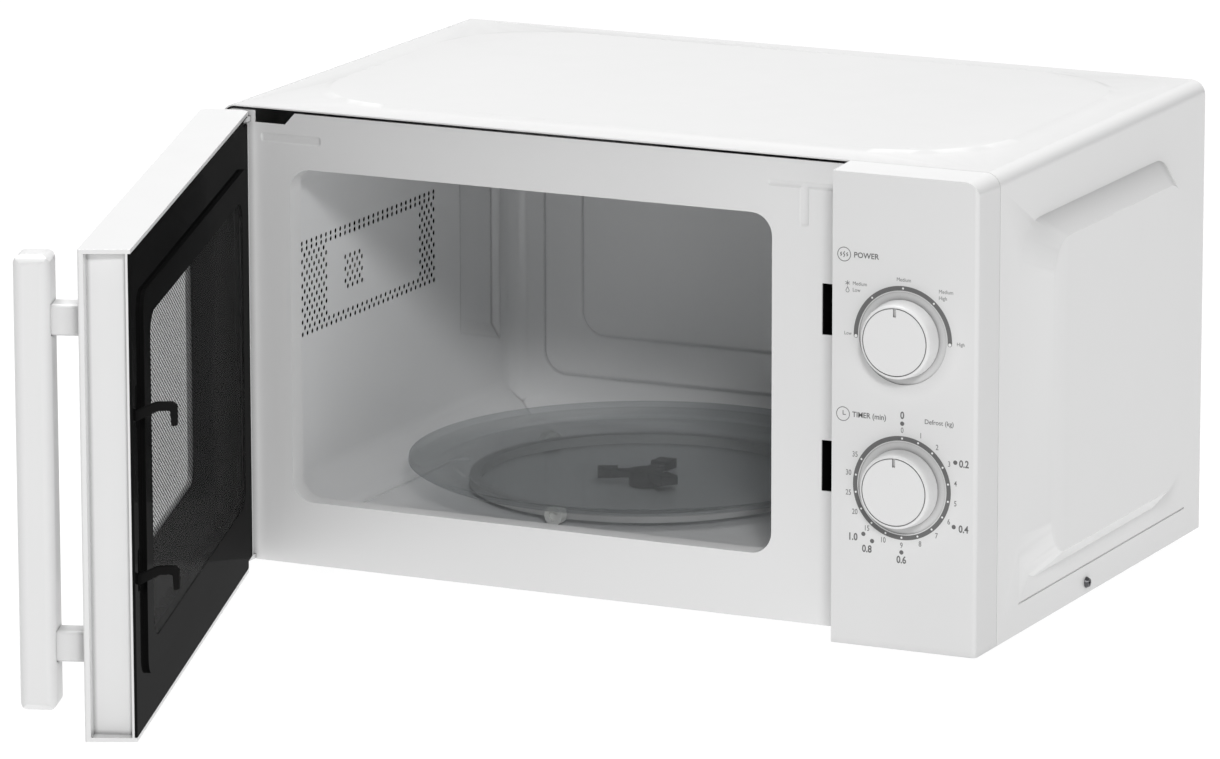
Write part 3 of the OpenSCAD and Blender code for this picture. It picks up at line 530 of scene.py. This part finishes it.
def wave_icon(sheet, x, z):
    """Circle with three wavy strokes."""
    sheet.ring(x, z, 3.45, 3.8, steps=40)
    for dx in (-1.7, 0, 1.7):
        tall = 1.5 if dx == 0 else 1.0
        sheet.line([(x + dx + 0.3, z + tall), (x + dx - 0.45, z + 0.25), (x + dx + 0.45, z - 0.25),
                    (x + dx - 0.3, z - tall)], 0.42)


def clock_icon(sheet, x, z):
    """Circle with two hands."""
    sheet.ring(x, z, 3.45, 3.8, steps=40)
    sheet.line([(x, z + 1.9), (x, z - 0.3), (x + 1.6, z - 0.3)], 0.4)


def snow_icon(sheet, x, z):
    """Star of three strokes."""
    for a in (0, 60, 120):
        dx, dz = polar(1.35, a)
        sheet.line([(x - dx, z - dz), (x + dx, z + dz)], 0.3)


def drop_icon(sheet, x, z):
    """Open ring with a pointed top."""
    sheet.ring(x, z - 0.3, 0.75, 1.05, 40, 320, 16)
    sheet.line([(x - 0.65, z + 0.35), (x, z + 1.7), (x + 0.65, z + 0.35)], 0.3)


def power_marks(dark, pale, white):
    """Half a band with five stops, and their names."""
    dark.ring(0, 0, SCALE_IN, SCALE_OUT, -POWER_TURN, POWER_TURN)
    for a in (-POWER_TURN, POWER_TURN):
        pale.ring(*polar(SCALE_MID, a), 0.85, 1.15, steps=20)
    for a in POWER_STOPS:
        white.dot(*polar(SCALE_MID, a), 0.85 if abs(a) == POWER_TURN else 0.55)
    wave_icon(dark, -33.0, 41.2)
    dark.text("POWER", -27.6, 41.2, 2.9, "LEFT", 0.06, 1.0)
    pale.text("Medium", 0.4, 30.6, 2.0)
    snow_icon(pale, -31.0, 26.3)
    drop_icon(pale, -31.0, 22.7)
    for x, first, second in ((-28.2, "Medium", "Low"), (19.8, "Medium", "High")):
        pale.text(first, x, 26.3, 2.0, "LEFT")
        pale.text(second, x, 22.9, 2.0, "LEFT")
    pale.text("Low", -28.6, 0.0, 1.9, "RIGHT")
    pale.text("High", 30.0, -0.3, 1.9, "LEFT")


def timer_marks(dark, pale, white):
    """Full band with the minutes and, outside them, the weights to defrost."""
    dark.ring(0, 0, SCALE_IN, SCALE_OUT)
    minutes = [(n, 20 * n) for n in range(11)] + [(15 + 5 * n, 220 + 20 * n) for n in range(5)]
    for value, angle in minutes:
        white.dot(*polar(SCALE_MID, angle), 0.55)
        pale.text(str(value), *polar(30.4, angle), 2.9, weight=0.02, narrow=0.8)
    weights = (("0", 0, polar(38.2, 0)), ("0.2", 61, (34.6, 15.9)), ("0.4", 121, (34.6, -18.4)),
               ("0.6", 180, polar(38.1, 180)), ("0.8", 209, (-19.4, -34.3)),
               ("1.0", 219, (-27.4, -28.6)))
    for words, angle, place in weights:
        dark.dot(*polar(34.0, angle), 1.15)
        dark.text(words, *place, 3.8, weight=0.12, narrow=0.85)
    clock_icon(dark, -33.2, 36.0)
    dark.text("TIMER (min)", -28.0, 36.1, 2.9, "LEFT", 0.05, 0.92)
    pale.text("Defrost (kg)", 12.4, 36.2, 2.5, "LEFT", 0.03, 0.95)


def print_panel():
    """Scales, numbers and icons printed on the control panel."""
    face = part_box("control_panel")[0].y - PRINT_LIFT
    inks = (("scale_ink", (0.14, 0.14, 0.14), 0.0), ("label_ink", (0.2, 0.2, 0.2), 0.0),
            ("dot_ink", (0.85, 0.85, 0.85), DOT_LIFT))
    for prefix, marks in (("power", power_marks), ("timer", timer_marks)):
        low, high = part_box(prefix + "_knob")
        middle = ((low.x + high.x) / 2, (low.z + high.z) / 2)
        sheets = [Sheet() for _ in inks]
        marks(*sheets)
        for sheet, (name, colour, lift) in zip(sheets, inks):
            sheet.build(f"{prefix}_{name}", middle, face - lift, ink(f"{prefix}_{name}", colour))


# ---------- door window ----------

PITCH, HOLE_RADIUS = 2.6 * MM, 0.95 * MM
SIDES = 6   # of a cell and of its hole


def perforated_points(low, high, pitch, hole):
    """Each cell's corners, then its hole's, of a sheet with a honeycomb of holes, in X and Z."""
    across = pitch * math.sqrt(3) / 2
    columns, rows = int((high[0] - low[0]) / across), int((high[2] - low[2]) / pitch)
    i, j = np.meshgrid(np.arange(columns), np.arange(rows), indexing="ij")
    x = low[0] + (i + 0.6) * across
    z = low[2] + (j + 0.5 + 0.5 * (i % 2)) * pitch      # every other column half a cell up
    angle = np.arange(SIDES) * math.pi / 3
    corner = np.stack([np.cos(angle), np.sin(angle)], -1)
    middle = np.stack([x.ravel(), z.ravel()], -1)[:, None, :]
    outer = middle + corner * pitch / math.sqrt(3)
    inner = middle + corner * hole
    return np.concatenate([outer, inner], 1)


def window_mesh():
    """Fine perforated screen, in the middle of the coarse one that it stands for."""
    low, high = closed_box("mesh_screen")
    cells = perforated_points(low, high, PITCH, HOLE_RADIUS)
    count = len(cells)
    points = np.zeros((count * 2 * SIDES, 3))
    points[:, [0, 2]] = cells.reshape(-1, 2)
    points[:, 1] = (low[1] + high[1]) / 2
    points[:, 2] = points[:, 2].clip(low[2], high[2])
    turn = np.array(hung_matrix())
    points = points @ turn[:3, :3].T + turn[:3, 3]
    k = np.arange(SIDES)
    following = (k + 1) % SIDES
    quad = np.stack([k, following, following + SIDES, k + SIDES], -1)
    faces = (quad[None] + np.arange(count)[:, None, None] * 2 * SIDES).reshape(-1)
    mesh = bpy.data.meshes.new("window_mesh")
    mesh.vertices.add(len(points))
    mesh.vertices.foreach_set("co", points.ravel())
    mesh.loops.add(len(faces))
    mesh.loops.foreach_set("vertex_index", faces)
    mesh.polygons.add(len(faces) // 4)
    mesh.polygons.foreach_set("loop_start", np.arange(0, len(faces), 4))
    mesh.update()
    mesh.materials.append(black_paint())
    obj = bpy.data.objects.new("window_mesh", mesh)
    bpy.context.scene.collection.objects.link(obj)
    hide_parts("mesh_screen")
    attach(obj, "door")


# ---------- surroundings ----------

FLOOR_SIZE, FLOOR_GLOW = 24, 0.95
SKY_STRENGTH = 0.2
LIGHTS = (("key", (1.6, -2.8, 1.9), (0.0, 0.0, 0.12), 0.6, 46),
          ("top", (-0.5, 0.2, 3.0), (0, 0, 0.2), 1.6, 88))  # name, place, aim, size, watts
CAMERA_PLACE = (1.77411, -3.82288, 1.05664)
CAMERA_TURN, CAMERA_RISE, CAMERA_ROLL = 25.68, 12.81, -0.10     # degrees
LENS, SENSOR_WIDTH = 235.36, 36     # millimetres


def lay_floor():
    """Wide white floor that glows enough to fade into the background."""
    bpy.ops.mesh.primitive_plane_add(size=FLOOR_SIZE)
    ground = bpy.context.object
    ground.name = "floor"
    paint = surface_of("pale_floor", (0.10, 0.10, 0.10), 0.7, vary=0.01, grain=200, depth=1e-5,
                       strength=0.1, specular=0.1)
    glow = paint.node_tree.nodes["Principled BSDF"].inputs
    glow["Emission Color"].default_value = (1, 1, 1, 1)
    glow["Emission Strength"].default_value = FLOOR_GLOW
    ground.data.materials.append(paint)


def soft_light(name, place, aim, size, watts):
    """Round area light that points at aim."""
    lamp = bpy.data.lights.new(name, "AREA")
    lamp.shape = "DISK"
    lamp.size = size
    lamp.energy = watts
    obj = bpy.data.objects.new(name, lamp)
    obj.location = place
    obj.rotation_euler = (Vector(aim) - Vector(place)).to_track_quat("-Z", "Y").to_euler()
    bpy.context.scene.collection.objects.link(obj)


def light_studio():
    """Even white surroundings with two soft lights."""
    world = bpy.data.worlds.new("studio")
    bpy.context.scene.world = world
    world.use_nodes = True
    sky = world.node_tree.nodes["Background"]
    sky.inputs["Color"].default_value = (1.0, 1.0, 1.0, 1)
    sky.inputs["Strength"].default_value = SKY_STRENGTH
    for light in LIGHTS:
        soft_light(*light)
    view = bpy.context.scene.view_settings
    view.view_transform = "Standard"
    view.exposure = 0.0


def aim_camera():
    """Long lens, a little above the part and to its right."""
    turn, rise, roll = (math.radians(a) for a in (CAMERA_TURN, CAMERA_RISE, CAMERA_ROLL))
    back = Vector((math.sin(turn) * math.cos(rise), -math.cos(turn) * math.cos(rise),
                   math.sin(rise)))
    right = Vector((0, 0, 1)).cross(back).normalized()
    up = back.cross(right)
    tilted = (math.cos(roll) * right + math.sin(roll) * up,
              math.cos(roll) * up - math.sin(roll) * right, back)
    data = bpy.data.cameras.new("camera")
    data.lens = LENS
    data.sensor_width = SENSOR_WIDTH
    data.sensor_fit = "HORIZONTAL"
    data.clip_end = 60
    camera = bpy.data.objects.new("camera", data)
    matrix = Matrix([list(axis) for axis in tilted]).transposed().to_4x4()
    matrix.translation = CAMERA_PLACE
    camera.matrix_world = matrix
    bpy.context.scene.collection.objects.link(camera)
    bpy.context.scene.camera = camera


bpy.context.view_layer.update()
dress_nodes()
for node_name, edge in SOFT_EDGES.items():
    soften(node_name, edge)
print_panel()
window_mesh()
lay_floor()
light_studio()
aim_camera()
